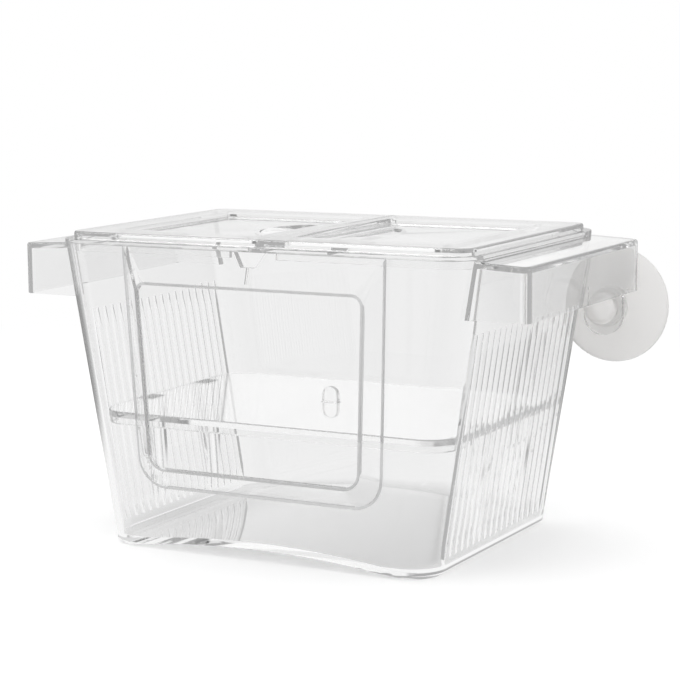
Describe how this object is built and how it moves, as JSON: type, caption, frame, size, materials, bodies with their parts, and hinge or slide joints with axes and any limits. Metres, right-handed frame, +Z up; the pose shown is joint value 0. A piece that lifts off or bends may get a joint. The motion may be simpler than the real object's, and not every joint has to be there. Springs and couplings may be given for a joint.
{
  "type": "fish breeding box",
  "caption": "Clear tapered breeding box with slotted sides, raised front window, hollow side ears, split lift-off lid, inner shelf and a suction cup behind.",
  "frame": {"origin": "middle of the bounding box's bottom face, on the surface that the box stands on", "axes": "+X to the right over both ears, +Y to the back where the suction cup stands, +Z up"},
  "size_m": [0.193, 0.1124, 0.1048],
  "materials": {
    "clear_body": "clear moulded polystyrene, gloss",
    "clear_shelf": "clear moulded polystyrene, gloss",
    "clear_lid": "clear moulded polystyrene, gloss",
    "soft_cup": "milky soft vinyl, satin"
  },
  "bodies": {
    "tank": {"box_body": "clear_body"},
    "shelf_plate": {"shelf": "clear_shelf"},
    "left_lid": {"lid_left": "clear_lid"},
    "right_lid": {"lid_right": "clear_lid"},
    "cup": {"suction_cup": "soft_cup"}
  },
  "joints": [
    {"name": "left_lid_lift", "type": "slide", "parent": "tank", "child": "left_lid", "axis": [0, 0, 1], "range_m": [0, 0.03]},
    {"name": "right_lid_lift", "type": "slide", "parent": "tank", "child": "right_lid", "axis": [0, 0, 1], "range_m": [0, 0.03]},
    {"name": "shelf_lift", "type": "slide", "parent": "tank", "child": "shelf_plate", "axis": [0, 0, 1], "range_m": [0, 0.05]},
    {"name": "cup_swivel", "type": "hinge", "parent": "tank", "child": "cup", "pos_m": [0.07645, 0.04683, 0.0764], "axis": [0, 1, 0], "continuous": true}
  ]
}
